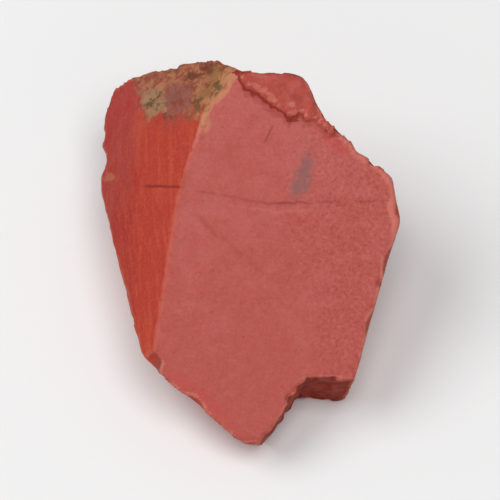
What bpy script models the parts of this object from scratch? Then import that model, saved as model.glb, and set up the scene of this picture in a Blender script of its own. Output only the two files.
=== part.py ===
"""Red jasper: one rough, freshly broken stone, about 34 x 44 x 24 mm.

The stone is a single solid. It starts as a block, flat breaks take its sides off one by one, larger
flakes leave stepped and dished scars, and small chips are missing from its edges. It rests on one flat
break at z = 0, with its long side along Y and its broad, sloping face up and towards -Y.
"""

import math

import bmesh
import bpy
from mathutils import Matrix, Vector, noise

MM = 0.001
NAME = "jasper_stone"
BLOCK_SIDE = 90 * MM
HEART = Vector((-0.08, 2.97, 11.0)) * MM

# Flat breaks: azimuth and elevation of the outward normal in degrees, distance from the heart in mm.
BREAKS = {
    "top of the proud flake": (-68.1, 69.1, 7.31),
    "upper left": (-173.0, 46.0, 10.2),
    "lower left": (-166.5, 40.0, 10.1),
    "weathered corner": (174.0, 51.0, 11.55),
    "left bevel": (-177.5, 33.0, 11.9),
    "left side": (179.0, -8.0, 17.35),
    "left side, near end": (-167.0, -14.0, 15.2),
    "back, left half": (73.0, 2.0, 14.15),
    "back, middle": (85.0, 8.0, 17.35),
    "right corner": (11.5, 2.0, 16.2),
    "right side": (-13.0, -10.0, 15.6),
    "blunt tip": (-89.5, -25.0, 24.7),
    "under the tip": (-142.0, -38.0, 16.2),
    "back foot": (78.0, -34.0, 15.5),
    "right foot": (12.0, -30.0, 15.3),
    "left foot": (168.0, -36.0, 17.3),
}

# Stepped breaks: the stone is gone where it was beyond the first plane, the tread, and beyond any of
# the others, the walls. That leaves an inner corner.
STEPS = {
    "broad face up to the proud flake": ((-82.0, 64.0, 5.3), (-115.0, 24.5, -4.6), (-99.5, 20.5, -5.1)),
    "notch beside the tip": ((-94.5, -12.0, 17.2), (-32.5, -14.0, 15.1)),
    "upper right edge beside the flake": ((21.5, 10.0, 12.15), (55.5, -6.0, 10.5)),
    "scar behind the top": ((91.0, 12.0, 15.0), (57.5, 25.0, 14.4)),
    "ledge low on the back": ((88.0, -4.0, 13.2), (100.0, -55.0, 13.0)),
}

# Shell-shaped scars: direction from the heart in degrees, distance of the deepest point, radius in mm.
SCARS = {
    "under the upper right edge": (48.0, -12.0, 9.6, 11.0),
    "back": (98.0, -20.0, 13.2, 13.0),
    "back, high up": (80.0, 12.0, 13.3, 8.0),
    "left side, near half": (-178.0, -20.0, 15.0, 12.0),
    "left side, far half": (152.0, -24.0, 17.7, 9.0),
    "right side": (-4.0, -24.0, 13.8, 14.0),
    "under the tip": (-128.0, -30.0, 16.4, 15.0),
}

# Small chips on the edges, given in the same way.
CHIPS = {
    "near left corner": (-123.3, -3.4, 18.9, 1.5),
    "near left edge": (-108.0, -8.7, 21.1, 2.4),
    "right edge, low": (-40.0, -2.0, 17.4, 2.6),
    "right edge, middle": (-20.5, 7.5, 16.0, 3.5),
    "right corner": (-3.0, 17.0, 16.6, 2.0),
    "upper right edge": (25.0, 30.0, 15.0, 2.4),
    "back edge of the weathered corner": (113.0, 20.0, 20.0, 2.2),
    "far left corner": (127.0, -9.0, 23.2, 3.0),
    "far left foot": (127.0, -32.0, 19.4, 3.5),
    "right foot": (-24.0, -38.0, 16.8, 3.0),
    "left foot": (178.0, -39.0, 16.2, 3.0),
    "front foot": (-84.0, -26.0, 24.0, 3.0),
    "left edge": (150.0, -9.0, 19.3, 2.6),
}

# The broken faces are not quite flat: height and width of their swells, and of the smaller bumps.
LONGEST_EDGE = 2.4 * MM
THINNEST_FACE = 0.03 * MM
SHORT_EDGE = 0.2 * MM
SLIVER_PASSES = 4
REFINE_PASSES = 3
LEVEL_ANGLE = math.radians(0.5)
SWELLS = (0.16 * MM, 6.0 * MM)
BUMPS = (0.07 * MM, 2.2 * MM)


def direction(azimuth, elevation):
    """Unit vector at an azimuth from +X and an elevation above the XY plane, in degrees."""
    around = math.radians(azimuth)
    up = math.radians(elevation)
    return Vector((math.cos(up) * math.cos(around), math.cos(up) * math.sin(around), math.sin(up)))


def clear_scene():
    """Remove the objects of the start-up file."""
    for old in list(bpy.data.objects):
        bpy.data.objects.remove(old, do_unlink=True)


def new_collection(name):
    """Make a collection in the scene."""
    collection = bpy.data.collections.new(name)
    bpy.context.scene.collection.children.link(collection)
    return collection


def jasper_material():
    """Dull brick-red jasper."""
    material = bpy.data.materials.new("red_jasper")
    material.use_nodes = True
    shader = material.node_tree.nodes["Principled BSDF"]
    shader.inputs["Base Color"].default_value = (0.43, 0.07, 0.045, 1.0)
    shader.inputs["Roughness"].default_value = 0.55
    shader.inputs["Metallic"].default_value = 0.0
    return material


def block(side=BLOCK_SIDE):
    """A cube around the heart, large enough to hold the whole stone."""
    bm = bmesh.new()
    bmesh.ops.create_cube(bm, size=side, matrix=Matrix.Translation(HEART))
    return bm


def cut(bm, azimuth, elevation, distance, keep_outside=False):
    """Cut with one plane, remove the part beyond it and close the hole."""
    normal = direction(azimuth, elevation)
    sliced = bmesh.ops.bisect_plane(
        bm,
        geom=bm.verts[:] + bm.edges[:] + bm.faces[:],
        plane_co=HEART + normal * distance * MM,
        plane_no=normal,
        clear_outer=not keep_outside,
        clear_inner=keep_outside,
    )
    rim = [part for part in sliced["geom_cut"] if isinstance(part, bmesh.types.BMEdge)]
    bmesh.ops.holes_fill(bm, edges=rim, sides=0)
    bmesh.ops.recalc_face_normals(bm, faces=bm.faces[:])


def to_object(bm, name, collection):
    """Write a bmesh into a new object."""
    mesh = bpy.data.meshes.new(name)
    bm.to_mesh(mesh)
    bm.free()
    made = bpy.data.objects.new(name, mesh)
    collection.objects.link(made)
    return made


def step_cutter(name, planes, collection):
    """The part of the block that lies beyond the tread and beyond any of the walls."""
    tread, *walls = planes
    beyond = block()
    cut(beyond, *tread, keep_outside=True)
    cutter = to_object(beyond, name, collection)
    behind = block(1.2 * BLOCK_SIDE)
    for wall in walls:
        cut(behind, *wall)
    take_away(cutter, to_object(behind, f"stays behind {name}", collection))
    return cutter


def scar_cutter(name, azimuth, elevation, distance, radius, collection):
    """A ball that touches its deepest point in the stone."""
    bm = bmesh.new()
    centre = HEART + direction(azimuth, elevation) * (distance + radius) * MM
    bmesh.ops.create_icosphere(
        bm, subdivisions=3, radius=radius * MM, matrix=Matrix.Translation(centre)
    )
    return to_object(bm, name, collection)


def take_away(stone, cutter):
    """Subtract a cutter from the stone."""
    cutter.display_type = "WIRE"
    cutter.hide_render = True
    difference = stone.modifiers.new(cutter.name, "BOOLEAN")
    difference.operation = "DIFFERENCE"
    difference.solver = "EXACT"
    difference.object = cutter


def evaluated_bmesh(made):
    """A bmesh of an object with its modifiers applied."""
    graph = bpy.context.evaluated_depsgraph_get()
    mesh = bpy.data.meshes.new_from_object(made.evaluated_get(graph))
    bm = bmesh.new()
    bm.from_mesh(mesh)
    bpy.data.meshes.remove(mesh)
    return bm


def thin_faces(bm):
    """The triangles that are thinner than a hair, each with its shortest and longest edge."""
    found = []
    for face in bm.faces:
        edges = sorted(face.edges, key=lambda edge: edge.calc_length())
        if 2.0 * face.calc_area() < THINNEST_FACE * edges[-1].calc_length():
            found.append((edges[0], edges[-1]))
    return found


def drop_slivers(bm):
    """Leave only triangles, and turn or close up the ones that are thinner than a hair."""
    bmesh.ops.remove_doubles(bm, verts=bm.verts[:], dist=THINNEST_FACE)
    bmesh.ops.dissolve_degenerate(bm, edges=bm.edges[:], dist=THINNEST_FACE)
    bmesh.ops.triangulate(bm, faces=bm.faces[:])
    for _ in range(SLIVER_PASSES):
        caps = {longest for shortest, longest in thin_faces(bm) if shortest.calc_length() > SHORT_EDGE}
        bmesh.ops.rotate_edges(bm, edges=list(caps))
        needles = {shortest for shortest, _ in thin_faces(bm) if shortest.calc_length() <= SHORT_EDGE}
        bmesh.ops.collapse(bm, edges=list(needles))
        bmesh.ops.triangulate(bm, faces=[face for face in bm.faces if len(face.verts) > 3])


def refine(bm):
    """Split long sides a few times, so that the flat faces have points that can swell."""
    drop_slivers(bm)
    for _ in range(REFINE_PASSES):
        long_edges = [edge for edge in bm.edges if edge.calc_length() > LONGEST_EDGE]
        bmesh.ops.subdivide_edges(bm, edges=long_edges, cuts=1)
        bmesh.ops.triangulate(bm, faces=[face for face in bm.faces if len(face.verts) > 3])
        level = [edge for edge in bm.edges if edge.calc_face_angle() < LEVEL_ANGLE]
        bmesh.ops.beautify_fill(bm, faces=bm.faces[:], edges=level)
    drop_slivers(bm)
    bm.normal_update()


def roughen(bm):
    """Push every point in or out along its normal by two sizes of smooth noise."""
    for vertex in bm.verts:
        push = 0.0
        for height, width in (SWELLS, BUMPS):
            push += height * noise.noise(vertex.co / width)
        vertex.co += vertex.normal * push


def build_stone():
    """Break the block down to the stone."""
    parts = new_collection("red_jasper")
    cutters = new_collection("break_cutters")
    bm = block()
    for azimuth, elevation, distance in BREAKS.values():
        cut(bm, azimuth, elevation, distance)
    stone = to_object(bm, NAME, parts)
    for name, planes in STEPS.items():
        take_away(stone, step_cutter(name, planes, cutters))
    for name, (azimuth, elevation, distance, radius) in (SCARS | CHIPS).items():
        take_away(stone, scar_cutter(name, azimuth, elevation, distance, radius, cutters))
    bm = evaluated_bmesh(stone)
    stone.modifiers.clear()
    refine(bm)
    roughen(bm)
    cut(bm, 0.0, -90.0, HEART.z / MM)
    rim = [vertex for vertex in bm.verts if vertex.co.z < THINNEST_FACE]
    bmesh.ops.remove_doubles(bm, verts=rim, dist=SHORT_EDGE)
    drop_slivers(bm)
    bm.to_mesh(stone.data)
    bm.free()
    stone.data.materials.append(jasper_material())
    return stone


clear_scene()
build_stone()
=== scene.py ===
"""The looks of one rough, broken piece of red jasper.

The stone is one closed surface. It is worked out from the same breaks, steps, scars and chips as its
solid, with the fine relief, worn edges and colours that the solid leaves out. Lengths in the stone's own
tables are millimetres and angles are degrees; meshes are written in metres.
"""
import itertools
import logging
import math
from dataclasses import dataclass, field
from enum import Enum
from typing import Any, Union

import bpy
import numpy as np
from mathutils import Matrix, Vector


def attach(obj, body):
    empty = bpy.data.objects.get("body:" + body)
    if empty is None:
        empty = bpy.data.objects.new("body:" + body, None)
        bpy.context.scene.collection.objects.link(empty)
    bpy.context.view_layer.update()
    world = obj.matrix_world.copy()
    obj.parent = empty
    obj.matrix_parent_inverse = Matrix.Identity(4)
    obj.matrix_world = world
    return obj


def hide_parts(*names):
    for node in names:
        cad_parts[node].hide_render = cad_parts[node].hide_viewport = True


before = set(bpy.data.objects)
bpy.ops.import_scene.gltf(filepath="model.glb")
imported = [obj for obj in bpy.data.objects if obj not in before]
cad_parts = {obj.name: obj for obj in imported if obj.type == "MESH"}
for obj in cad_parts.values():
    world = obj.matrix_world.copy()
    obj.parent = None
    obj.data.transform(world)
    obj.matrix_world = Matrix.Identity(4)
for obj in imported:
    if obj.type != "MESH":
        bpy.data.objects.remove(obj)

Pair = tuple[float, float]
Triple = tuple[float, float, float]

MM = 0.001
SKIN = "jasper_skin"
NODE = "jasper_stone"
BODY = "root"

logging.basicConfig(level=logging.INFO, format="%(message)s")
log = logging.getLogger("jasper")


def direction(azimuth: float, elevation: float) -> np.ndarray:
    """Unit vector from two angles.

    Args:
        azimuth: Angle from +X about +Z, in degrees.
        elevation: Angle above the XY plane, in degrees.

    Returns:
        The vector (cos e cos a, cos e sin a, sin e).
    """
    around = math.radians(azimuth)
    up = math.radians(elevation)
    return np.array([math.cos(up) * math.cos(around), math.cos(up) * math.sin(around), math.sin(up)])


def ramp(values: np.ndarray, low: float, high: float) -> np.ndarray:
    """Smooth step: 0 at low, 1 at high, with 3t^2 - 2t^3 between them."""
    part = np.clip((values - low) / (high - low), 0.0, 1.0)
    return part * part * (3.0 - 2.0 * part)


def add(name: str, data: bpy.types.ID) -> bpy.types.Object:
    """Add an object to the scene.

    Args:
        name: Its name.
        data: Its mesh, light or camera.

    Returns:
        The object.
    """
    made = bpy.data.objects.new(name, data)
    bpy.context.scene.collection.objects.link(made)
    return made


def hang(made: bpy.types.Object, target: Vector, way: Vector, away: float) -> None:
    """Place a light or camera off a target and turn it to look at that: t + way * away.

    Args:
        made: The object.
        target: What it looks at, in metres.
        way: Unit vector from the target to it.
        away: Its distance in metres.
    """
    made.location = target + way * away
    made.rotation_euler = way.to_track_quat("Z", "Y").to_euler()


class GradientNoise:
    """Smooth noise in space, worked out for a whole array of points at once."""

    SIZE = 256
    GAIN = 1.7

    def __init__(self, seed: int) -> None:
        """Shuffle the lattice.

        Args:
            seed: Seed of the shuffle and of the lattice gradients.
        """
        draw = np.random.default_rng(seed)
        order = draw.permutation(self.SIZE)
        self.order = np.concatenate([order, order])
        gradients = draw.normal(size=(self.SIZE, 3))
        self.gradients = gradients / np.linalg.norm(gradients, axis=1, keepdims=True)

    def at(self, points: np.ndarray, width: float) -> np.ndarray:
        """Noise between about -1 and 1.

        Each point is weighed between the eight corners of its lattice cell by the curve
        6t^5 - 15t^4 + 10t^3, and each corner gives the dot product of its gradient and the way to it.

        Args:
            points: N x 3 places in mm.
            width: Width of one lattice cell in mm.

        Returns:
            N values.
        """
        scaled = points / width
        cell = np.floor(scaled).astype(np.int64)
        part = scaled - cell
        fade = part * part * part * (part * (part * 6.0 - 15.0) + 10.0)
        total = np.zeros(len(points))
        for corner in itertools.product((0, 1), repeat=3):
            corner = np.array(corner)
            x, y, z = ((cell + corner) % self.SIZE).T
            row = self.order[self.order[self.order[x] + y] + z]
            slope = np.einsum("ij,ij->i", self.gradients[row], part - corner)
            total += slope * np.where(corner, fade, 1.0 - fade).prod(axis=1)
        return total * self.GAIN


class Face(Enum):
    """The kinds of surface that the breaks have left."""

    PLAIN = "plain"
    BROAD = "broad"
    SLANT = "slant"
    FLAKE = "flake"
    RIND = "rind"
    TORN = "torn"


@dataclass(frozen=True)
class Break:
    """A flat break: everything beyond its plane is gone.

    Attributes:
        azimuth: Azimuth of the outward normal, in degrees.
        elevation: Elevation of the outward normal, in degrees.
        distance: Distance of the plane from the heart, in mm.
        face: What the break looks like.
        swell: Height of its long swells, in mm.
        ragged: Height of its short, torn bumps, in mm.
    """

    azimuth: float
    elevation: float
    distance: float
    face: Face = Face.PLAIN
    swell: float = 0.14
    ragged: float = 0.04

    def beyond(self, points: np.ndarray) -> np.ndarray:
        """How far points from the heart lie beyond the plane: n . p - d."""
        return points @ direction(self.azimuth, self.elevation) - self.distance


@dataclass(frozen=True)
class Step:
    """A stepped break: what was beyond its tread and beyond one of its walls is gone.

    Attributes:
        tread: The break that runs up to the inner corner.
        walls: The breaks that rise from it.
    """

    tread: Break
    walls: tuple[Break, ...]


@dataclass(frozen=True)
class Scar:
    """A shell-shaped scar: the inside of a ball is gone.

    Attributes:
        azimuth: Azimuth of its deepest point from the heart, in degrees.
        elevation: Elevation of its deepest point from the heart, in degrees.
        distance: Distance of its deepest point from the heart, in mm.
        radius: Radius of the ball, in mm.
        ripple: Height of the rings around the point where it was struck, in mm.
        rings: How fast the rings follow each other, in radians for each mm.
    """

    azimuth: float
    elevation: float
    distance: float
    radius: float
    ripple: float = 0.0
    rings: float = 3.4

    def beyond(self, points: np.ndarray) -> np.ndarray:
        """How far points lie inside the ball: r - |p - c|, with rings on it.

        The rings are a sine of the distance from a point on the upper rim of the scar.

        Args:
            points: N x 3 places from the heart, in mm.

        Returns:
            N distances in mm, negative outside.
        """
        centre = direction(self.azimuth, self.elevation) * (self.distance + self.radius)
        depth = self.radius - np.linalg.norm(points - centre, axis=1)
        if self.ripple:
            struck = centre + self.radius * np.array([0.0, 0.0, 1.0])
            depth = depth + self.ripple * np.sin(np.linalg.norm(points - struck, axis=1) * self.rings)
        return depth


# The noises are read at turned and shifted places, and mixed by angles in radians, so that none match.
TURN = np.array([[0.36, 0.48, -0.80], [-0.80, 0.60, 0.0], [0.48, 0.64, 0.60]])
APART = 40.0
FAR_APART = 90.0
BREAK_TURN = 1.9
STEP_TURN = 2.3

# How far apart slopes are measured, in mm, and the least square of a slope that a point moves by.
SLOPE_STEP = 0.05
SETTLE_STEP = 0.02
LEAST_SLOPE = 0.3

# The search rays start this many times the reach away.
CLEAR = 1.6

# The kinds of break: their look and the heights of their swells and torn bumps in mm.
BROAD = {"face": Face.BROAD, "swell": 0.10, "ragged": 0.03}
SLANT = {"face": Face.SLANT, "swell": 0.09, "ragged": 0.03}
TORN = {"face": Face.TORN, "swell": 0.20, "ragged": 0.30}
FLAKE = {"face": Face.FLAKE, "swell": 0.12, "ragged": 0.05}
FLAKE_TORN = {"face": Face.TORN, "swell": 0.42, "ragged": 0.30}
RIND = {"face": Face.RIND, "swell": 0.20, "ragged": 0.26}

# The breaks that the finish also measures from.
WEATHERED = Break(174.0, 51.0, 11.55, **RIND)
LOWER_SLANT = Break(-166.5, 40.0, 10.1, **SLANT)
BROAD_FACE = Break(-82.0, 64.0, 5.3, **BROAD)


@dataclass
class Stone:
    """The stone's form, and the mesh that is made from it.

    Attributes:
        heart: The point that all distances are taken from, in mm.
        core: Where the search rays end, from the heart, in mm.
        reach: Half axes of the egg-shaped grid that the rays start on, in mm.
        grid: Points along one side of each of the six grid patches.
        walk: Steps that a ray takes to reach the surface.
        plain_rounds, rough_rounds: How often the grid is evened out without and with the relief.
        evening: Share of the way to its neighbours' mean that a point moves each time.
        rounding: Width over which a worn edge is rounded, in mm.
        waves: Widths of the long swells, the bumps and the fine bumps, in mm.
        scar_bumps: Heights of the bumps and the fine bumps in a scar, in mm.
        nick_waves: Widths of the two noises that place the torn nicks, in mm.
        nick_start: Height of those noises where a nick begins.
        nick_depth, nick_width: Depth of the nicks, and how far from an edge they fade, in mm.
        seam: Width over which one kind of face gives way to the next, in mm.
        full_turn: 1 - n . m of two cuts whose edge counts as fully sharp.
        edge_reach: The most that the edge attribute says, in mm.
        far: What stands for the walls' height where a cut has no walls, in mm.
    """

    heart: Triple = (-0.08, 2.97, 11.0)
    core: Triple = (0.5, -1.5, -2.5)
    reach: Triple = (22.0, 30.0, 19.0)
    grid: int = 122
    walk: int = 40
    plain_rounds: int = 10
    rough_rounds: int = 4
    evening: float = 0.6
    rounding: float = 0.24
    waves: Triple = (7.0, 2.1, 0.9)
    scar_bumps: Pair = (0.05, 0.03)
    nick_waves: Pair = (1.1, 3.7)
    nick_start: float = 0.25
    nick_depth: float = 0.38
    nick_width: float = 0.5
    seam: float = 0.12
    full_turn: float = 0.5
    edge_reach: float = 2.0
    far: float = 9.0
    breaks: tuple[Break, ...] = (
        WEATHERED,
        Break(-68.1, 69.1, 7.31, **FLAKE),
        Break(-173.0, 46.0, 10.2, **SLANT),
        LOWER_SLANT,
        Break(-177.5, 33.0, 11.9, **SLANT),
        Break(179.0, -8.0, 17.35),
        Break(-167.0, -14.0, 15.2),
        Break(73.0, 2.0, 14.15),
        Break(85.0, 8.0, 17.35),
        Break(11.5, 2.0, 16.2),
        Break(-13.0, -10.0, 15.6),
        Break(-89.5, -25.0, 24.7),
        Break(-142.0, -38.0, 16.2),
        Break(78.0, -34.0, 15.5),
        Break(12.0, -30.0, 15.3),
        Break(168.0, -36.0, 17.3),
    )
    steps: tuple[Step, ...] = (
        Step(
            BROAD_FACE,
            (Break(-115.0, 24.5, -4.6, **FLAKE_TORN), Break(-99.5, 20.5, -5.1, **FLAKE_TORN)),
        ),
        Step(Break(-94.5, -12.0, 17.2, **TORN), (Break(-32.5, -14.0, 15.1, **TORN),)),
        Step(Break(21.5, 10.0, 12.15), (Break(55.5, -6.0, 10.5),)),
        Step(Break(91.0, 12.0, 15.0), (Break(57.5, 25.0, 14.4),)),
        Step(Break(88.0, -4.0, 13.2), (Break(100.0, -55.0, 13.0),)),
    )
    scars: tuple[Scar, ...] = (
        Scar(48.0, -12.0, 9.6, 11.0, ripple=0.05),
        Scar(98.0, -20.0, 13.2, 13.0, ripple=0.06),
        Scar(80.0, 12.0, 13.3, 8.0),
        Scar(-178.0, -20.0, 15.0, 12.0),
        Scar(152.0, -24.0, 17.7, 9.0),
        Scar(-4.0, -24.0, 13.8, 14.0, ripple=0.06),
        Scar(-128.0, -30.0, 16.4, 15.0, ripple=0.05),
    )
    chips: tuple[Scar, ...] = (
        Scar(-123.3, -3.4, 18.9, 1.5),
        Scar(-108.0, -8.7, 21.1, 2.4),
        Scar(-40.0, -2.0, 17.4, 2.6),
        Scar(-20.5, 7.5, 16.0, 3.5),
        Scar(-3.0, 17.0, 16.6, 2.0),
        Scar(25.0, 30.0, 15.0, 2.4),
        Scar(113.0, 20.0, 20.0, 2.2),
        Scar(127.0, -9.0, 23.2, 3.0),
        Scar(127.0, -32.0, 19.4, 3.5),
        Scar(-24.0, -38.0, 16.8, 3.0),
        Scar(178.0, -39.0, 16.2, 3.0),
        Scar(-84.0, -26.0, 24.0, 3.0),
        Scar(150.0, -9.0, 19.3, 2.6),
    )
    noise: GradientNoise = field(default_factory=lambda: GradientNoise(7))

    def __post_init__(self) -> None:
        """Work out how sharp the edge between any two cuts is: (1 - n . m) / full turn, at most 1."""
        parts = [part for step in self.steps for part in (step.tread, step.walls[0])]
        cuts = [*self.breaks, *parts, *self.scars, *self.chips, Break(0.0, -90.0, self.heart[2])]
        facing = np.stack([direction(cut.azimuth, cut.elevation) for cut in cuts])
        self.sharpness = np.clip((1.0 - facing @ facing.T) / self.full_turn, 0.0, 1.0)

    def cut_heights(self, points: np.ndarray, relief: bool) -> tuple[np.ndarray, np.ndarray, np.ndarray]:
        """How far points lie beyond every cut.

        A flat break gives n . p - d plus its own mix of three noises. A step gives its tread, or the
        larger of its walls where that is the smaller of the two, and a scar or a chip r - |p - c|.

        Args:
            points: N x 3 places from the heart, in mm.
            relief: Whether the faces get their swells and bumps.

        Returns:
            Three arrays with one row for each cut and one column for each point: how far the points lie
            beyond the cut, how far a step's walls stand over its tread there, and the row of the
            sharpness table that the cut has there.
        """
        long_wave = short_wave = fine_wave = np.zeros(len(points))
        if relief:
            long, short, fine = self.waves
            long_wave = self.noise.at(points, long)
            short_wave = self.noise.at(points @ TURN.T + APART, short)
            fine_wave = self.noise.at(points @ TURN - APART, fine)

        def height(cut: Break, turn: float) -> np.ndarray:
            """Height over a break with its swells and bumps.

            Args:
                cut: The break.
                turn: The angle that the long and the short noise are mixed by.

            Returns:
                n . p - d and the mixed noises.
            """
            swells = cut.swell * (math.cos(turn) * long_wave + math.sin(turn) * short_wave)
            bumps = cut.ragged * (0.7 * short_wave + fine_wave)
            return cut.beyond(points) + swells + bumps

        none, far = np.zeros(len(points)), np.full(len(points), self.far)
        rows = [(height(cut, BREAK_TURN * row), far, none + row) for row, cut in enumerate(self.breaks)]
        for turn, step in enumerate(self.steps):
            tread = height(step.tread, STEP_TURN * turn)
            walls = np.max([height(wall, STEP_TURN * turn + 1.0) for wall in step.walls], axis=0)
            number = len(self.breaks) + 2 * turn + (walls < tread)
            rows.append((np.minimum(tread, walls), walls - tread, number))
        first = len(self.breaks) + 2 * len(self.steps)
        rough = self.scar_bumps[0] * short_wave + self.scar_bumps[1] * fine_wave
        for number, scar in enumerate(self.scars + self.chips, start=first):
            rows.append((scar.beyond(points) + rough, far, none + number))
        rows.append((-points[:, 2] - self.heart[2], far, none + len(self.sharpness) - 1))
        heights, walls_over, numbers = (np.stack(kind) for kind in zip(*rows))
        return heights, walls_over, numbers.astype(int)

    def level(self, points: np.ndarray, relief: bool = True) -> np.ndarray:
        """Height of points over the stone's surface, negative inside, in mm.

        It is the largest cut height, with the two largest blended where they come within the rounding
        width of each other: max + (w - difference)^2 / 4w. Torn nicks are taken out along those edges.

        Args:
            points: N x 3 places from the heart, in mm.
            relief: Whether swells, bumps and nicks are added.

        Returns:
            N heights.
        """
        rows, _, numbers = self.cut_heights(points, relief)
        first, second, sharp = self.top_two(rows, numbers)
        gap = first - second
        over = first + np.square(np.clip(self.rounding - gap, 0.0, None)) / (4.0 * self.rounding)
        if relief:
            small, large = self.nick_waves
            nick = self.noise.at(points + FAR_APART, small) + 0.9 * self.noise.at(points - FAR_APART, large)
            near = np.exp(-np.square(gap / self.nick_width))
            over = over + self.nick_depth * np.clip(nick - self.nick_start, 0.0, None) * sharp * near
        return over

    def top_two(self, rows: np.ndarray, numbers: np.ndarray) -> tuple[np.ndarray, np.ndarray, np.ndarray]:
        """The two cuts that matter most at every point.

        Args:
            rows: How far the points lie beyond every cut.
            numbers: The row of the sharpness table that every cut has there.

        Returns:
            The highest and the next highest of the rows, and how sharp the edge between the two is.
        """
        order = np.argpartition(rows, -2, axis=0)[-2:]
        second, first = np.take_along_axis(rows, order, axis=0)
        below, above = np.take_along_axis(numbers, order, axis=0)
        return first, second, self.sharpness[below, above]

    def looks(self, points: np.ndarray, pairs: np.ndarray) -> dict[str, np.ndarray]:
        """What the stone's finish reads at every point.

        The kinds of face are shares of 1, taken from exp((height - top height) / seam) of every cut.
        Edge is how far the highest cut stands over another, over the square of how sharply the two meet:
        the least over all cuts, in mm, up to the edge reach. Step is the share of all steps, foot how far
        the nearest step's walls stand over its tread, and relief a point's height over the mean around it.

        Args:
            points: N x 3 places from the heart, in mm.
            pairs: The mesh's edges, each in both directions, as M x 2 point numbers.

        Returns:
            One array of N values for each name.
        """
        rows, walls_over, numbers = self.cut_heights(points, relief=True)
        top = rows.max(axis=0)
        share = np.exp((rows - top) / self.seam)
        share /= share.sum(axis=0)
        made = {face.value: np.zeros(len(points)) for face in Face}
        first_step, last_step = len(self.breaks), len(self.breaks) + len(self.steps)
        nearest = rows[first_step:last_step].argmax(axis=0)[None]
        made["foot"] = np.take_along_axis(walls_over[first_step:last_step], nearest, axis=0)[0]
        made["step"] = share[first_step:last_step].sum(axis=0)
        for row, cut in enumerate(self.breaks):
            made[cut.face.value] += share[row]
        for row, step in enumerate(self.steps, start=first_step):
            tread = ramp(walls_over[row], -self.seam, self.seam)
            made[step.tread.face.value] += share[row] * tread
            made[step.walls[0].face.value] += share[row] * (1.0 - tread)
        made[Face.PLAIN.value] += share[last_step:].sum(axis=0)
        highest = rows.argmax(axis=0)[None]
        sharp = self.sharpness[numbers, np.take_along_axis(numbers, highest, axis=0)]
        gaps = (top - rows) / np.square(np.clip(1.3 * sharp - 0.1, 0.01, 1.0))
        np.put_along_axis(gaps, highest, self.edge_reach, axis=0)
        made["edge"] = np.clip(gaps.min(axis=0), 0.0, self.edge_reach)
        made["relief"] = self.relief(points, pairs)
        return made

    @staticmethod
    def mean_around(points: np.ndarray, pairs: np.ndarray) -> np.ndarray:
        """The mean place of every point's neighbours: the sum over its edges, over their number.

        Args:
            points: N x 3 places.
            pairs: The mesh's edges, each in both directions, as M x 2 point numbers.

        Returns:
            N x 3 places.
        """
        count = np.bincount(pairs[:, 0], minlength=len(points))
        ends = points[pairs[:, 1]]
        sums = [np.bincount(pairs[:, 0], ends[:, axis], len(points)) for axis in range(3)]
        return np.stack(sums, axis=1) / count[:, None]

    def relief(self, points: np.ndarray, pairs: np.ndarray) -> np.ndarray:
        """Height of every point over the mean of its neighbours, along the slope of the level.

        Args:
            points: N x 3 places from the heart, in mm.
            pairs: The mesh's edges, each in both directions, as M x 2 point numbers.

        Returns:
            N heights in hundredths of mm.
        """
        height = self.level(points)
        slope = np.stack([self.level(points + SLOPE_STEP * axis) - height for axis in np.eye(3)], axis=1)
        slope /= np.linalg.norm(slope, axis=1, keepdims=True)
        return np.einsum("ij,ij->i", points - self.mean_around(points, pairs), slope) * 100.0

    def grid_rays(self) -> tuple[np.ndarray, np.ndarray]:
        """Directions of a grid on six patches that together close a ball.

        A patch is the grid (tan a, tan b, 1) for a and b from -45 to 45 degrees, scaled to length 1 and
        turned to each of the six sides. Points shared by two patches are merged.

        Returns:
            The directions (N x 3), and the corners of each four-sided face (M x 4), outward.
        """
        step = np.tan(np.linspace(-math.pi / 4, math.pi / 4, self.grid))
        a, b = np.meshgrid(step, step, indexing="ij")
        one = np.ones_like(a)
        sides = ((one, a, b), (-one, b, a), (b, one, a), (a, -one, b), (a, b, one), (b, a, -one))
        points = np.concatenate([np.stack(side, axis=-1).reshape(-1, 3) for side in sides])
        points /= np.linalg.norm(points, axis=1, keepdims=True)
        index = np.arange(self.grid * self.grid).reshape(self.grid, self.grid)
        patch = np.stack([index[:-1, :-1], index[1:, :-1], index[1:, 1:], index[:-1, 1:]], axis=-1)
        quads = np.concatenate([patch.reshape(-1, 4) + side * index.size for side in range(6)])
        keys = np.round(points * 1e6).astype(np.int64)
        _, keep, merged = np.unique(keys, axis=0, return_index=True, return_inverse=True)
        return points[keep], merged.reshape(-1)[quads]

    def first_hits(self, rays: np.ndarray) -> np.ndarray:
        """Walk in from the egg-shaped grid towards the core until the surface is met.

        Args:
            rays: N x 3 unit directions.

        Returns:
            N x 3 places from the heart, in mm.
        """
        core = np.array(self.core)
        start = core + rays * np.array(self.reach) * CLEAR
        inward = core - start
        length = np.linalg.norm(inward, axis=1, keepdims=True)
        inward /= length
        travelled = np.zeros(len(rays))
        for _ in range(self.walk):
            height = self.level(start + inward * travelled[:, None], relief=False)
            travelled = travelled + np.where(height > 0.0, height, 0.5 * height)
        return start + inward * travelled[:, None]

    def settle(self, points: np.ndarray, relief: bool = True) -> np.ndarray:
        """Move points onto the surface along the slope of the level: p - f g / |g|^2.

        Args:
            points: N x 3 places from the heart, in mm.
            relief: Whether the surface has its swells, bumps and nicks.

        Returns:
            The moved points.
        """
        height = self.level(points, relief)
        ahead = [self.level(points + SETTLE_STEP * axis, relief) for axis in np.eye(3)]
        slope = np.stack([(there - height) / SETTLE_STEP for there in ahead], axis=1)
        size = np.clip(np.square(slope).sum(axis=1), LEAST_SLOPE, None)
        return points - slope * (height / size)[:, None]

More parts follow.
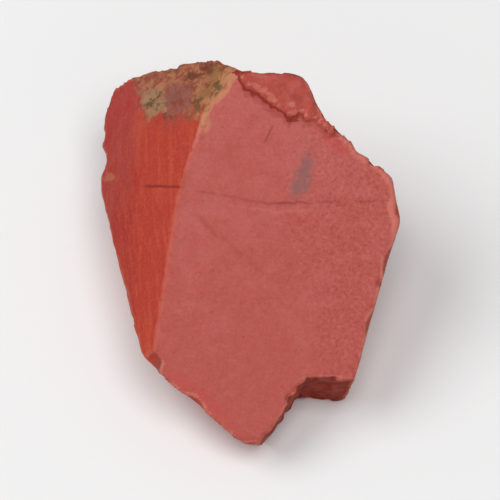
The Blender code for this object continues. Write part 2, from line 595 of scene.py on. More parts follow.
    def surface(self) -> tuple[np.ndarray, np.ndarray, np.ndarray]:
        """The stone's finished surface.

        The grid is wrapped on the form, evened out by moving every point towards the mean of its
        neighbours, and moved back onto the form each time.

        Returns:
            Places from the heart in mm, the corners of each four-sided face, and the mesh's edges.
        """
        rays, quads = self.grid_rays()
        points = self.first_hits(rays)
        pairs = np.concatenate([quads[:, [0, 1]], quads[:, [1, 2]], quads[:, [2, 3]], quads[:, [3, 0]]])
        for turn in range(self.plain_rounds + self.rough_rounds):
            points = points + self.evening * (self.mean_around(points, pairs) - points)
            points = self.settle(points, relief=turn >= self.plain_rounds)
        for _ in range(2):
            points = self.settle(points)
        return points, quads, pairs

    def build(self) -> bpy.types.Object:
        """Make the stone's mesh object, with the attributes that its finish reads.

        Returns:
            The object.
        """
        points, quads, pairs = self.surface()
        mesh = bpy.data.meshes.new(SKIN)
        placed = (points + np.array(self.heart)) * MM
        placed[:, 2] = np.clip(placed[:, 2], 0.0, None)
        mesh.from_pydata(placed.tolist(), [], quads.tolist())
        mesh.shade_smooth()
        mesh.update()
        for name, values in self.looks(points, pairs).items():
            mesh.attributes.new(name, "FLOAT", "POINT").data.foreach_set("value", values)
        return add(SKIN, mesh)


Colour = tuple[float, float, float, float]
Socket = bpy.types.NodeSocket
Number = Union["Value", float]
BLACK: Colour = (0.0, 0.0, 0.0, 1.0)
WHITE: Colour = (1.0, 1.0, 1.0, 1.0)


def linear(red: int, green: int, blue: int) -> Colour:
    """Turn a screen colour into the shader's linear one.

    Args:
        red, green, blue: The channels, 0 to 255.

    Returns:
        The colour, with alpha 1.
    """
    shares = [channel / 255.0 for channel in (red, green, blue)]
    lit = [share / 12.92 if share < 0.04045 else ((share + 0.055) / 1.055) ** 2.4 for share in shares]
    return (lit[0], lit[1], lit[2], 1.0)


class Value:
    """A number in a node tree that Python's arithmetic works on."""

    def __init__(self, nodes: "Nodes", socket: Socket) -> None:
        """Wrap an output socket of a node."""
        self.nodes = nodes
        self.socket = socket

    def _maths(self, operation: str, *terms: Number) -> "Value":
        """Add one Math node for an operation on the terms."""
        return self.nodes.number("ShaderNodeMath", {"operation": operation}, dict(enumerate(terms)))

    def __add__(self, other: Number) -> "Value":
        """Sum."""
        return self._maths("ADD", self, other)

    __radd__ = __add__

    def __sub__(self, other: Number) -> "Value":
        """Difference."""
        return self._maths("SUBTRACT", self, other)

    def __rsub__(self, other: Number) -> "Value":
        """Difference from a plain number."""
        return self._maths("SUBTRACT", other, self)

    def __mul__(self, other: Number) -> "Value":
        """Product."""
        return self._maths("MULTIPLY", self, other)

    __rmul__ = __mul__

    def __abs__(self) -> "Value":
        """Size without sign."""
        return self._maths("ABSOLUTE", self)

    def lowest(self, other: Number) -> "Value":
        """The smaller of two."""
        return self._maths("MINIMUM", self, other)

    def highest(self, other: Number) -> "Value":
        """The larger of two."""
        return self._maths("MAXIMUM", self, other)

    def rise(self, low: float, high: float) -> "Value":
        """Smooth step.

        Args:
            low: Where it is 0. It may be the larger of the two.
            high: Where it is 1.

        Returns:
            A value from 0 to 1.
        """
        start, end = (low, high) if low < high else (high, low)
        step = self.nodes.number(
            "ShaderNodeMapRange",
            {"interpolation_type": "SMOOTHSTEP"},
            {"Value": self, "From Min": start, "From Max": end},
        )
        return step if low < high else 1.0 - step


class Nodes:
    """A node tree under construction."""

    def __init__(self, tree: bpy.types.NodeTree) -> None:
        """Start from a tree as it is."""
        self.tree = tree

    def put(self, socket: Socket, value: Any) -> None:
        """Link a value to a socket, or set the socket to it.

        Args:
            socket: An input socket.
            value: A value, an output socket, a number, a vector or a colour.
        """
        if isinstance(value, Value):
            value = value.socket
        if isinstance(value, Socket):
            self.tree.links.new(value, socket)
        else:
            socket.default_value = value

    def node(self, kind: str, settings: dict[str, Any], inputs: dict[Any, Any]) -> bpy.types.Node:
        """Add any node.

        Args:
            kind: The node's type.
            settings: Its properties, which are set first.
            inputs: Values or links, by the name or number of the socket.

        Returns:
            The node.
        """
        made = self.tree.nodes.new(kind)
        for name, value in settings.items():
            setattr(made, name, value)
        for name, value in inputs.items():
            self.put(made.inputs[name], value)
        return made

    def number(self, kind: str, settings: dict[str, Any], inputs: dict[Any, Any], output: Any = 0) -> Value:
        """Add a node and take one of its outputs as a number."""
        return Value(self, self.node(kind, settings, inputs).outputs[output])


@dataclass(frozen=True)
class Spot:
    """An oval mark: its middle from the heart, to the right and up, and its two radii, in mm."""

    right: float
    up: float
    wide: float
    high: float


Spots = tuple[Spot, ...]


class Recipe(Nodes):
    """A material under construction.

    Attributes:
        OCTAVE: How strong each finer octave of a noise is beside the one before.
        SPECK_CORE: How much of a speck's radius is full.
        CHOICE: Share over which a cell goes from having a speck to having none.
        SPOT_CORE: The square of the distance in radii up to which a spot is full.
        place: Where a point is, in mm.
    """

    OCTAVE = 0.58
    SPECK_CORE = 0.4
    CHOICE = 0.02
    SPOT_CORE = 0.2

    def __init__(self, name: str) -> None:
        """Start from one Principled shader and from where a point is.

        Args:
            name: The material's name.
        """
        self.material = bpy.data.materials.new(name)
        self.material.use_nodes = True
        super().__init__(self.material.node_tree)
        self.shader = self.tree.nodes["Principled BSDF"]
        where = self.node("ShaderNodeTexCoord", {}, {}).outputs["Object"]
        self.place = self.vector("SCALE", {0: where, "Scale": 1.0 / MM})

    def vector(self, operation: str, inputs: dict[Any, Any]) -> Socket:
        """Add one Vector Math node and take the vector that it gives."""
        return self.node("ShaderNodeVectorMath", {"operation": operation}, inputs).outputs["Vector"]

    def length(self, operation: str, inputs: dict[Any, Any]) -> Value:
        """Add one Vector Math node and take the number that it gives."""
        return self.number("ShaderNodeVectorMath", {"operation": operation}, inputs, "Value")

    def drawn_out(self, axis: np.ndarray, times: float) -> Socket:
        """Draw a pattern out along an axis.

        Args:
            axis: Unit vector.
            times: How many times longer the pattern gets.

        Returns:
            The place with its way along the axis shortened as much.
        """
        way = self.length("DOT_PRODUCT", {0: self.place, 1: axis.tolist()}) * (1.0 - 1.0 / times)
        part = self.vector("SCALE", {0: axis.tolist(), "Scale": way})
        return self.vector("SUBTRACT", {0: self.place, 1: part})

    def noise(self, width: float, detail: float = 2.0, twist: float = 0.0, place: Any = None) -> Value:
        """Soft noise around 0.5.

        Args:
            width: Width of its largest lumps in mm.
            detail: Octaves of finer noise on them.
            twist: How far they are twisted.
            place: Where, in mm, if not where the point is.

        Returns:
            A value, mostly between 0.25 and 0.75.
        """
        where = {"Vector": self.place if place is None else place, "Scale": 1.0 / width}
        how = {"Detail": detail, "Distortion": twist, "Roughness": self.OCTAVE}
        return self.number("ShaderNodeTexNoise", {}, where | how)

    def specks(self, width: float, size: float, share: float) -> Value:
        """Small round specks.

        Args:
            width: Mean distance between cells in mm.
            size: Radius of a speck as a share of that.
            share: Share of the cells that have one.

        Returns:
            1 in a speck, 0 elsewhere.
        """
        cells = self.node("ShaderNodeTexVoronoi", {}, {"Vector": self.place, "Scale": 1.0 / width})
        chosen = self.number("ShaderNodeSeparateColor", {}, {0: cells.outputs["Color"]})
        speck = Value(self, cells.outputs["Distance"]).rise(size, size * self.SPECK_CORE)
        return speck * chosen.rise(share, share - self.CHOICE)

    def spot(self, x: Value, y: Value, mark: Spot) -> Value:
        """An oval spot: 1 in its middle, 0 at its rim, by the square of the distance in radii."""
        one, other = (x - mark.right) * (1.0 / mark.wide), (y - mark.up) * (1.0 / mark.high)
        return (one * one + other * other).rise(1.0, self.SPOT_CORE)

    def paint(self, share: Number, under: Any, over: Any) -> Socket:
        """Lay one colour over another by a share of 0 to 1."""
        settings = {"data_type": "RGBA", "clamp_factor": True}
        return self.node("ShaderNodeMix", settings, {0: share, 6: under, 7: over}).outputs[2]

    def spots(self, share: float, under: Any, over: Any, x: Value, y: Value, marks: Spots) -> Socket:
        """Lay one colour over another in spots.

        Args:
            share: How much of it a spot's middle takes on.
            under, over: The two colours.
            x, y: How far a place lies to the right and up, in mm.
            marks: The spots.

        Returns:
            The colour.
        """
        for mark in marks:
            under = self.paint(self.spot(x, y, mark) * share, under, over)
        return under

    def finish(self, colour: Any, roughness: Any, height: Value) -> bpy.types.Material:
        """Connect the shader.

        Args:
            colour: Base colour.
            roughness: Roughness.
            height: Height of the fine relief in mm.

        Returns:
            The material.
        """
        self.put(self.shader.inputs["Base Color"], colour)
        self.put(self.shader.inputs["Roughness"], roughness)
        bump = self.node("ShaderNodeBump", {}, {"Height": height, "Distance": MM, "Strength": 1.0})
        self.put(self.shader.inputs["Normal"], bump.outputs[0])
        return self.material


@dataclass(frozen=True)
class JasperFinish:
    """Red jasper: fresh breaks, worn edges, a weathered corner and the marks in the stone.

    A pair says where something begins and where it is full. Places are in mm from the heart.

    Attributes:
        heart: The stone's heart in mm.
        body, body_warm, body_dark_and_shade: The red of a fresh break, and what it varies to;
            body_dark_and_shade is also the painted shade in hollows.
        pale, pale_warm, rosy: The broad face, its warmer parts and its small red blotches. The broad face's
            pale pink is partly powder and partly painted sheen of the light from above.
        proud: The top of the proud flake.
        torn, umber: The dark red of small torn walls, partly painted shade, and the painted shade on the
            notch's walls.
        strip, corner: Its dull left strip and the deep red corner over that.
        torn, umber: Small torn walls, and those of the notch.
        thread: The hairline and the dash.
        worn_and_highlight: Rubbed edges and light grains, and the colour of the painted highlights on the
            proud flake and along the broad face's upper right edge.
        iron, quartz: Blue-grey iron ore and white quartz.
        rust, olive, moss, mauve, brown, straw, lichen: The weathered corner.
        specular: How strongly the stone mirrors.
        granular, upper_right_highlight: The broad face's granular part, and its narrowly rubbed upper right
            edge, which is lit up as a painted highlight.
        notch, foot, foot_end: The notch's walls, and the dark line of painted shade at the foot of a step's
            walls.
        rubbed, ridge: A rubbed edge, and where the ridge is less rubbed.
        near_rind, straw_over: Where an edge by the weathered corner is straw.
        strip_reach, corner_reach: The dull strip and its deep corner.
        lichen_reach, rim_reach: The weathered corner's band and rim.
        down: Azimuth and elevation that the streaks run in, in degrees.
        crack: The plane of the slanting face's dark line.
        bend, falls: Where the hairline bends, and how much it falls for each mm before and after that.
    """

    heart: Triple
    body: Colour = linear(174, 62, 44)
    body_warm: Colour = linear(180, 72, 50)
    body_dark_and_shade: Colour = linear(142, 44, 36)
    pale_and_sheen: Colour = linear(185, 89, 83)
    pale_warm: Colour = linear(180, 81, 71)
    rosy: Colour = linear(194, 66, 64)
    proud: Colour = linear(177, 71, 58)
    deep: Colour = linear(173, 49, 29)
    streak: Colour = linear(188, 74, 44)
    strip: Colour = linear(157, 38, 27)
    corner: Colour = linear(164, 38, 30)
    torn: Colour = linear(128, 28, 18)
    notch_shade: Colour = linear(146, 38, 12)
    thread: Colour = linear(138, 50, 46)
    worn_and_highlight: Colour = linear(212, 122, 106)
    iron: Colour = linear(112, 90, 88)
    quartz: Colour = linear(226, 204, 194)
    rust: Colour = linear(150, 82, 62)
    olive: Colour = linear(158, 126, 94)
    moss: Colour = linear(92, 76, 42)
    mauve: Colour = linear(142, 84, 78)
    brown: Colour = linear(106, 54, 36)
    straw: Colour = linear(186, 128, 88)
    lichen: Colour = linear(152, 104, 62)

    specular: float = 0.25
    granular: Pair = (2.0, 9.0)
    upper_right_highlight: Pair = (10.0, 14.0)
    notch: Pair = (-12.5, -14.5)
    foot: Pair = (0.24, 0.10)
    foot_end: Pair = (4.5, 7.0)
    rubbed: Pair = (0.40, 0.04)
    ridge: Pair = (-1.2, -0.4)
    near_rind: Pair = (-1.6, -0.6)
    straw_over: Pair = (11.4, 12.8)
    strip_reach: Pair = (-12.2, -14.0)
    corner_reach: Pair = (10.4, 11.6)
    lichen_reach: Pair = (-2.8, -1.4)
    rim_reach: Pair = (-1.9, -0.2)
    down: Pair = (90.0, 6.7)
    crack: Break = Break(82.3, 27.7, 3.05)
    bend: Pair = (2.0, 1.75)
    falls: Pair = (0.32, 0.09)

    low_blotch: Spot = Spot(-8.1, -18.6, 1.3, 4.4)
    high_blotch: Spot = Spot(10.4, 7.2, 1.5, 0.9)
    straw_dot: Spot = Spot(-16.0, 5.7, 0.8, 0.7)
    straw_tip: Spot = Spot(-4.95, 11.6, 0.8, 1.5)
    flake_rim_highlight: Spot = Spot(0.3, 17.2, 2.0, 0.5)
    flake_highlights: Spots = (Spot(1.55, 15.2, 0.5, 0.4), Spot(4.6, 13.7, 0.5, 0.4), Spot(5.7, 12.8, 0.4, 0.3))
    mauve_patch: Spot = Spot(-8.1, 14.1, 2.1, 2.6)
    olive_patch: Spot = Spot(-11.2, 13.9, 2.3, 2.1)
    moss_spots: Spots = (
        Spot(-11.1, 13.9, 0.8, 0.55), Spot(-12.4, 13.0, 0.5, 0.4), Spot(-10.3, 14.8, 0.5, 0.4)
    )
    brown_spots: Spots = (Spot(-6.3, 16.8, 0.9, 0.7), Spot(-4.4, 17.6, 1.1, 0.8), Spot(-9.6, 12.2, 1.3, 0.5))
    moss_on_rim: Spots = (Spot(-5.75, 13.5, 0.5, 1.2), Spot(-3.6, 15.4, 0.45, 1.3))

    def make(self) -> bpy.types.Material:
        """Build the jasper's material."""
        return JasperPaint(self).make()


class JasperPaint(Recipe):
    """The jasper's material, laid on layer by layer.

    Attributes:
        look: The finish that it follows.
        told: What the mesh says of a point, by name: shares of the kinds of face, edge, step and so on.
        x, y: How far a place lies from the heart along the broad face, to the right and up it, in mm.
        across, over: How far it lies from the heart to the right and up, seen from the camera, in mm.
        cloud, mottle, sugar, grain: Noises that are 6, 1.7, 0.4 and 0.24 mm wide.
        stir, ragged, wobble: Noises around 0 that move the borders of patches and bend the lines.
        granular: How granular the broad face is.
        colour: The colour so far.
    """

    def __init__(self, look: JasperFinish) -> None:
        """Read the mesh's attributes and lay the noises that several layers share.

        Args:
            look: The finish that it follows.
        """
        super().__init__("jasper")
        self.look = look
        names = [face.value for face in Face] + ["edge", "step", "foot", "relief"]
        self.told = {
            name: self.number("ShaderNodeAttribute", {"attribute_name": name}, {}, "Fac") for name in names
        }
        self.x, self.y = self.way(8.0, 0.0), self.way(98.0, 26.0)
        self.across, self.over = self.way(0.0, 0.0), self.way(90.0, 32.0)
        self.cloud = self.noise(width=6.0, detail=3.0, twist=0.4)
        self.mottle = self.noise(width=1.7, detail=5.0, twist=0.3)
        self.sugar = self.noise(width=0.40, detail=4.0)
        self.grain = self.noise(width=0.24, detail=5.0)
        self.stir = self.mottle - 0.5
        self.ragged = self.noise(width=0.7, detail=4.0, twist=0.5) - 0.5
        self.wobble = (self.noise(width=1.5) - 0.5) * 0.7
        strayed = self.x + (self.cloud - 0.5) * 14.0
        self.granular = self.told["broad"] * strayed.rise(*look.granular)
        self.colour = self.paint(self.cloud.rise(0.42, 0.66), look.body, look.body_warm)

    def way(self, azimuth: float, elevation: float, start: float = 0.0) -> Value:
        """How far a place lies from the heart in a direction.

        Args:
            azimuth: The direction's azimuth, in degrees.
            elevation: Its elevation, in degrees.
            start: Where the count starts, in mm.

        Returns:
            n . (p - heart) - start.
        """
        axis = direction(azimuth, elevation)
        way = self.length("DOT_PRODUCT", {0: self.place, 1: axis.tolist()})
        return way - (float(np.array(self.look.heart) @ axis) + start)

    def beyond(self, cut: Break) -> Value:
        """How far a place lies beyond a break's plane, in mm."""
        return self.way(cut.azimuth, cut.elevation, cut.distance)

    def beside(self, x: float, y: float, lean: float) -> Value:
        """How far a place lies right of the line through (x, y) that goes right by lean for each mm up."""
        return self.x - x - (self.y - y) * lean

    def lay(self, share: Number, over: Any) -> None:
        """Lay a colour over the colour so far by a share of 0 to 1."""
        self.colour = self.paint(share, self.colour, over)

    def make(self) -> bpy.types.Material:
        """Lay one layer over the other and connect the shader.

        Returns:
            The material.
        """
        self.faces()
        self.grains()
        self.inclusions()
        self.blotches()
        self.hairline()
        self.fleck()
        rubbed = self.edges()
        crust = self.told["rind"] * (self.mottle + self.told["rind"]).rise(0.85, 1.25)
        self.lay(crust, self.weathering())

        roughness = 0.50 + self.grain * 0.16 + crust * 0.25 + rubbed * 0.15
        hackle = self.noise(width=0.9, detail=5.0, twist=0.3) * (0.11 - self.told["broad"] * 0.06)
        swells = self.noise(width=3.4) * 0.22
        height = self.grain * 0.04 + self.sugar * (0.035 + self.granular * 0.07) + hackle + swells
        height = height + crust * self.noise(width=0.45, detail=4.0) * 0.28
        self.put(self.shader.inputs["Specular IOR Level"], self.look.specular)
        return self.finish(self.colour, roughness, height)

    def faces(self) -> None:
        """The stone's own colour on each kind of face, with painted sheen in the broad face's pale pink and
        painted highlights on the proud flake and its rim.
        """
        look, told, across, over, stir = self.look, self.told, self.across, self.over, self.stir
        self.lay(self.mottle.rise(0.56, 0.40) * 0.45, look.body_dark_and_shade)
        warm = 0.5 - self.y * 0.022 + (self.cloud - 0.5) * 2.0 + stir * 1.8
        # The broad face's pale pink is partly powder and partly painted sheen of the light from above.
        self.lay(told["broad"], self.paint(warm.rise(0.1, 0.9), look.pale_and_sheen, look.pale_warm))
        proud = self.paint(self.mottle.rise(0.50, 0.62) * 0.5, look.proud, look.pale_and_sheen)
        # Painted highlights: light spots where bumps on the proud flake catch the light.
        proud = self.spots(0.6, proud, look.worn_and_highlight, across, over + stir * 1.5, look.flake_highlights)
        self.lay(told["flake"], proud)
        self.lay(told["slant"], self.slanting_face())
        self.lay(self.spot(across, over + stir * 2.0, look.straw_tip) * 0.6, look.straw)
        # Painted highlight: a light rim along the top edge of the proud flake.
        self.lay(self.spot(across, over + across * 0.33, look.flake_rim_highlight) * 0.3, look.worn_and_highlight)

    def slanting_face(self) -> Socket:
        """Fine streaks down the face, with a dull strip along its left and a deep red corner over that.

        Returns:
            The colour.
        """
        look = self.look
        drawn_out = self.drawn_out(direction(*look.down), times=8.0)
        streaks = self.noise(width=0.7, detail=4.0, twist=0.3, place=drawn_out)
        face = self.paint(streaks.rise(0.42, 0.70) * 0.65, look.deep, look.streak)
        strip = self.paint(streaks.rise(0.44, 0.68) * 0.35, look.strip, look.streak)
        strip = self.paint((self.over + self.stir * 3.0).rise(*look.corner_reach), strip, look.corner)
        return self.paint((self.across + self.stir * 5.0).rise(*look.strip_reach) * 0.85, face, strip)

    def grains(self) -> None:
        """The fine, sugary grain of a break, coarser where the broad face is granular."""
        light, dark = 0.10 + self.granular * 0.16, 0.12 + self.granular * 0.24
        self.lay((self.sugar - 0.5).rise(0.02, 0.16) * light, self.look.worn_and_highlight)
        self.lay((0.5 - self.sugar).rise(0.02, 0.16) * dark, self.look.body_dark_and_shade)
        self.lay(self.grain.rise(0.52, 0.72) * 0.14, self.look.worn_and_highlight)
        self.lay(self.grain.rise(0.46, 0.28) * 0.24, self.look.body_dark_and_shade)

    def inclusions(self) -> None:
        """Iron ore, quartz and specks, mostly away from the broad and the slanting face."""
        look, told = self.look, self.told
        away = 1.0 - (told["broad"] + told["slant"] + told["flake"]).lowest(1.0)
        bands = abs(self.noise(width=8.0, detail=6.0, twist=0.9) - 0.5)
        here = self.noise(width=7.0, detail=1.0).rise(0.48, 0.60) * away
        self.lay(bands.rise(0.07, 0.0) * here * 0.35, look.body_dark_and_shade)
        self.lay((bands + self.grain * 0.05).rise(0.05, 0.025) * here * 0.65, look.iron)
        self.lay(self.specks(width=0.9, size=0.20, share=0.10) * away * 0.35, look.quartz)
        self.lay(self.specks(width=1.1, size=0.20, share=0.30) * 0.3, look.body_dark_and_shade)

    def blotches(self) -> None:
        """Two red blotches on the broad face and a straw dot on the slanting one."""
        look, x, y, wobble, ragged = self.look, self.x, self.y, self.wobble, self.ragged
        leaning = x + (y - look.low_blotch.up) * 0.9 + wobble * 2.5
        low = self.spot(leaning, y + ragged * 2.0, look.low_blotch)
        self.lay(low * self.told["broad"] * 0.32, look.rosy)
        falling = y + (x - look.high_blotch.right) * 0.6 + ragged * 2.0
        high = self.spot(x + wobble * 2.0, falling, look.high_blotch)
        self.lay(high * self.told["broad"] * 0.40, look.rosy)
        dot = self.spot(self.across + ragged * 3.0, self.over + wobble, look.straw_dot)
        self.lay(dot * 0.35, look.straw)

    def hairline(self) -> None:
        """The bent hairline across the broad face, and the dark line that crosses the slanting face."""
        look, x, wobble = self.look, self.x, self.wobble
        (middle, height), (before, after) = look.bend, look.falls
        line = self.y - height - (middle - x).highest(0.0) * before + (x - middle).highest(0.0) * after
        line = line + wobble
        under_fleck = abs(x - 4.9).rise(2.6, 1.2)
        seen = self.noise(width=2.2).rise(0.34, 0.58).highest(under_fleck * 0.8) * self.told["broad"]
        self.lay(abs(line).rise(0.22, 0.04) * seen * (0.42 + under_fleck * 0.35), look.thread)
        self.lay(abs(line).rise(0.8, 0.0) * seen * 0.14, look.body_dark_and_shade)
        below = abs(line + 0.95 + wobble).rise(0.36, 0.0) * abs(x - middle).rise(7.0, 3.0)
        self.lay(below * seen * 0.30, look.worn_and_highlight)
        crack = abs(self.beyond(look.crack) + wobble * 0.6).rise(0.24, 0.06)
        self.lay(crack * self.told["slant"] * self.across.rise(-12.4, -11.2) * 0.85, look.torn)

    def fleck(self) -> None:
        """The blue-grey fleck on the broad face, the short dash over it and the faint dark streak."""
        look, y, wobble, broad = self.look, self.y, self.wobble, self.told["broad"]
        width = 0.15 + y.rise(8.6, 3.6) * 0.65
        beside = abs(self.beside(5.35, 2.4, lean=0.40) + wobble * 0.8)
        fleck = (beside - width + self.ragged * 2.0).rise(0.65, -0.40) * y.rise(1.4, 3.4) * y.rise(8.8, 4.6)
        self.lay(fleck * broad * (0.25 + self.mottle * 0.75), look.iron)
        dash = abs(self.beside(2.95, 9.45, lean=0.62) + wobble * 0.3).rise(0.26, 0.04)
        self.lay(dash * abs(y - 9.45).rise(1.15, 0.6) * broad * 0.55, look.thread)
        dark = abs(self.beside(-1.9, -3.3, lean=-0.92) + wobble * 1.6).rise(0.8, 0.05)
        dark = dark * abs(self.x + 1.9).rise(5.4, 3.2) * self.noise(width=1.8, detail=3.0).rise(0.34, 0.6)
        self.lay(dark * broad * 0.30, look.body_dark_and_shade)

    def edges(self) -> Value:
        """Torn walls and the notch darkened as painted shade, a dark line of painted shade at the foot of a
        step's walls, rubbed edges with a painted highlight, and painted shade in hollows.

        Returns:
            How strongly a place is rubbed.
        """
        look, told = self.look, self.told
        # Painted shade: torn walls darkened a little, and the notch's walls much more, in a deep brown.
        low = self.y.rise(*look.notch)
        self.lay(told["torn"] * (0.25 + low * 0.70), self.paint(low, look.torn, look.notch_shade))
        # Painted shade: a jagged dark line at the foot of a step's walls, fading out across the broad face.
        jagged = self.noise(width=0.7, detail=4.0) - 0.5
        foot = abs(told["foot"] + jagged * 0.8).rise(*look.foot) * told["step"].rise(0.2, 0.6)
        faded = (self.across + jagged * 6.0).rise(*look.foot_end) * told["broad"].rise(0.0, 0.2)
        foot = foot * (1.0 - faded * 0.7)
        self.lay(foot * (0.9 - told["plain"] * 0.55), look.torn)

        # Painted highlight: the rubbed rim reaches further along the broad face's upper right edge, where it
        # catches the light.
        upper_right_highlight = (self.x + self.y).rise(*look.upper_right_highlight) * told["broad"]
        rubbed = told["edge"] + self.stir * 1.2 + (self.grain - 0.5) * 0.8 - upper_right_highlight * 0.50
        rubbed = rubbed.rise(*look.rubbed) * (1.0 - foot)
        ridge = self.beyond(LOWER_SLANT).rise(*look.ridge)
        self.lay(rubbed * (0.70 - told["torn"] * 0.25 - ridge * 0.42), look.worn_and_highlight)
        straw = self.beyond(WEATHERED).rise(*look.near_rind)
        straw = straw * (self.over + self.mottle * 2.4).rise(*look.straw_over)
        self.lay(rubbed * straw * 0.75, look.straw)
        # Painted shade: darker where a point lies below the mean of its neighbours, in hollows.
        self.lay(told["relief"].rise(-0.3, -1.8) * 0.3, look.body_dark_and_shade)
        return rubbed

    def weathering(self) -> Socket:
        """The weathered corner: rust with patches of olive, moss, mauve and brown, and a straw rim.

        Returns:
            The colour.
        """
        look = self.look
        x = self.across + (self.noise(width=1.3, detail=5.0, twist=0.3) - 0.5) * 3.6
        y = self.over + (self.noise(width=0.8, detail=5.0, twist=0.3) - 0.5) * 2.6
        small = self.noise(width=0.9, detail=5.0, twist=0.2)
        colour = self.paint(small.rise(0.44, 0.60) * 0.6, look.rust, look.straw)
        mauve = self.spot(x, y, look.mauve_patch) * small.rise(0.38, 0.52)
        colour = self.paint(mauve * 0.85, colour, look.mauve)
        colour = self.paint(self.spot(x, y, look.olive_patch) * 0.85, colour, look.olive)
        colour = self.spots(0.9, colour, look.moss, x, y, look.moss_spots)
        colour = self.spots(0.8, colour, look.brown, x, y, look.brown_spots)
        inside = self.beyond(BROAD_FACE)
        band = (inside + (small - 0.5) * 2.4).rise(*look.lichen_reach)
        colour = self.paint(band * 0.85, colour, look.lichen)
        rim = (inside.rise(*look.rim_reach) + (small - 0.5) * 2.0).rise(0.3, 0.9)
        colour = self.paint(rim * 0.8, colour, look.straw)
        colour = self.spots(0.8, colour, look.moss, x, y, look.moss_on_rim)
        return self.paint((small - 0.5).rise(-0.04, -0.14) * 0.45, colour, look.brown)


@dataclass(frozen=True)
class FloorFinish:
    """The studio floor: matt, nearly white card that fades into the white backdrop.

    Attributes:
        white, grey: The card and its faint fibres.
        fibre, tint, depth: The fibres' width in mm, how grey they are and their height in mm.
        roughness: Roughness.
        fade: Where the floor begins and ends to glow, from its middle in mm.
        glow: How bright it ends up, so that it stays as white far away as it is lit near by.
    """

    white: Colour = (0.87, 0.87, 0.865, 1.0)
    grey: Colour = (0.80, 0.80, 0.80, 1.0)
    fibre: float = 1.2
    tint: float = 0.04
    depth: float = 0.01
    roughness: float = 0.9
    fade: Pair = (40.0, 1000.0)
    glow: float = 0.64

    def make(self) -> bpy.types.Material:
        """Build the floor's material.

        Returns:
            The material.
        """
        mix = Recipe("pale_card")
        grain = mix.noise(width=self.fibre, detail=3.0)
        near, far = self.fade
        away = (mix.length("LENGTH", {0: mix.place}) - near) * (1.0 / (far - near))
        mix.put(mix.shader.inputs["Emission Color"], mix.paint(away, BLACK, WHITE))
        mix.put(mix.shader.inputs["Emission Strength"], self.glow)
        card = mix.paint(grain * self.tint, self.white, self.grey)
        return mix.finish(card, self.roughness, grain * self.depth)


@dataclass(frozen=True)
class SoftBox:
    """A round soft box that looks at the stone.

    Attributes:
        name: The light's name.
        azimuth, elevation: Where it hangs, in degrees.
        width: Its width in metres.
        power: Its power in watts.
        away: How far from the stone it hangs, in metres.
    """

    name: str
    azimuth: float
    elevation: float
    width: float
    power: float
    away: float = 0.8

    def hang(self) -> None:
        """Add the light to the scene."""
        data = bpy.data.lights.new(self.name, "AREA")
        data.shape = "DISK"
        data.size = self.width
        data.energy = self.power
        way = Vector(direction(self.azimuth, self.elevation))
        hang(add(self.name, data), Vector((0.0, 0.0, 0.0)), way, self.away)


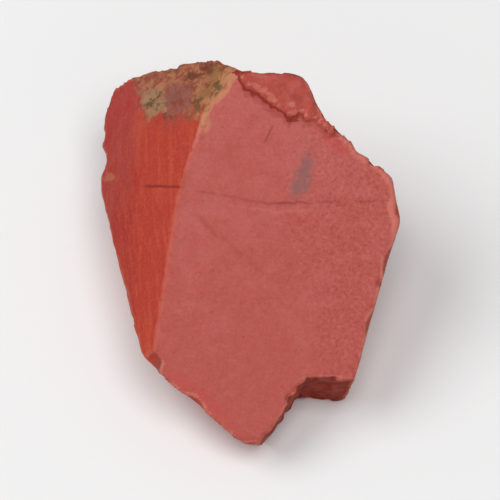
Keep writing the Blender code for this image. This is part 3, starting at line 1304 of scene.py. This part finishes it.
@dataclass
class Studio:
    """Floor, light and camera around the stone.

    Attributes:
        elevation: The camera's angle above the floor, in degrees, as in the photograph.
        lens: Focal length in mm.
        clip: Nearest and farthest distance that the camera sees, in metres.
        view_height: What the picture takes in at the stone, from top to bottom, in mm.
        aim: The picture's middle, from the stone's heart, in mm.
        floor_radius: Radius of the floor in metres.
        floor_sides, floor_rings: Into how many sides and rings it is divided.
        backdrop: How bright the white backdrop is that the camera sees.
        fill, fill_colour: How bright the even light from all around is, and its colour.
        soft_boxes: The soft boxes.
    """

    elevation: float = 58.0
    lens: float = 400.0
    clip: Pair = (0.01, 10.0)
    view_height: float = 55.3
    aim: Triple = (0.0, -4.99, 3.12)
    floor_radius: float = 1.5
    floor_sides: int = 96
    floor_rings: int = 4
    backdrop: float = 0.90
    fill: float = 0.24
    fill_colour: Colour = (0.97, 0.98, 1.0, 1.0)
    soft_boxes: tuple[SoftBox, ...] = (
        SoftBox("soft_box_over_camera", azimuth=-62.0, elevation=72.0, width=0.55, power=3.1),
        SoftBox("soft_box_left", azimuth=176.0, elevation=52.0, width=0.6, power=3.2),
    )

    def camera(self, heart: Triple) -> None:
        """Set up the camera.

        Args:
            heart: The stone's heart in mm.
        """
        data = bpy.data.cameras.new("camera")
        data.lens = self.lens
        data.clip_start, data.clip_end = self.clip
        made = add("camera", data)
        target = (Vector(heart) + Vector(self.aim)) * MM
        away = self.view_height * self.lens / data.sensor_width * MM
        hang(made, target, Vector(direction(-90.0, self.elevation)), away)
        bpy.context.scene.camera = made

    def surround(self) -> None:
        """A white backdrop for the camera, and a dimmer one that lights the stone."""
        world = bpy.data.worlds.new("surround")
        world.use_nodes = True
        nodes = Nodes(world.node_tree)
        seen, output = nodes.tree.nodes["Background"], nodes.tree.nodes["World Output"]
        nodes.put(seen.inputs["Color"], WHITE)
        nodes.put(seen.inputs["Strength"], self.backdrop)
        lit = nodes.node("ShaderNodeBackground", {}, {"Color": self.fill_colour, "Strength": self.fill})
        by_camera = nodes.node("ShaderNodeLightPath", {}, {}).outputs["Is Camera Ray"]
        both = nodes.node("ShaderNodeMixShader", {}, {0: by_camera, 1: lit.outputs[0], 2: seen.outputs[0]})
        nodes.put(output.inputs["Surface"], both.outputs[0])
        bpy.context.scene.world = world

    def floor(self) -> bpy.types.Object:
        """Make a round, flat floor at z = 0: the points r (cos a, sin a) of a fan of rings.

        Returns:
            The floor.
        """
        sides = self.floor_sides
        around = np.linspace(0.0, 2.0 * math.pi, sides, endpoint=False)
        radii = self.floor_radius * np.linspace(0.0, 1.0, self.floor_rings + 1)[1:]
        rings = radii[:, None, None] * np.stack([np.cos(around), np.sin(around)], axis=-1)
        points = np.concatenate([np.zeros((1, 2)), rings.reshape(-1, 2)])
        points = np.concatenate([points, np.zeros((len(points), 1))], axis=1)
        number = 1 + np.arange(self.floor_rings * sides).reshape(-1, sides)
        after = np.roll(number, -1, axis=1)
        hub = np.stack([np.zeros(sides, dtype=int), number[0], after[0]], axis=-1)
        quads = np.stack([number[:-1], number[1:], after[1:], after[:-1]], axis=-1).reshape(-1, 4)
        mesh = bpy.data.meshes.new("studio_floor")
        mesh.from_pydata(points.tolist(), [], hub.tolist() + quads.tolist())
        mesh.materials.append(FloorFinish().make())
        made = add("studio_floor", mesh)
        return made

    def build(self, heart: Triple) -> None:
        """Set up the whole studio.

        Args:
            heart: The stone's heart in mm.
        """
        self.floor()
        self.surround()
        for box in self.soft_boxes:
            box.hang()
        self.camera(heart)
        bpy.context.scene.view_settings.view_transform = "Standard"


def main() -> None:
    """Build the stone and its studio, and report each piece."""
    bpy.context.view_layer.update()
    stone = Stone()
    skin = stone.build()
    skin.data.materials.append(JasperFinish(stone.heart).make())
    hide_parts(NODE)
    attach(skin, BODY)
    log.info("stone skin: %d points, %d faces", len(skin.data.vertices), len(skin.data.polygons))
    studio = Studio()
    studio.build(stone.heart)
    log.info("studio: floor %.1f m across, camera %.0f degrees up", 2 * studio.floor_radius, studio.elevation)


if __name__ == "__main__":
    main()
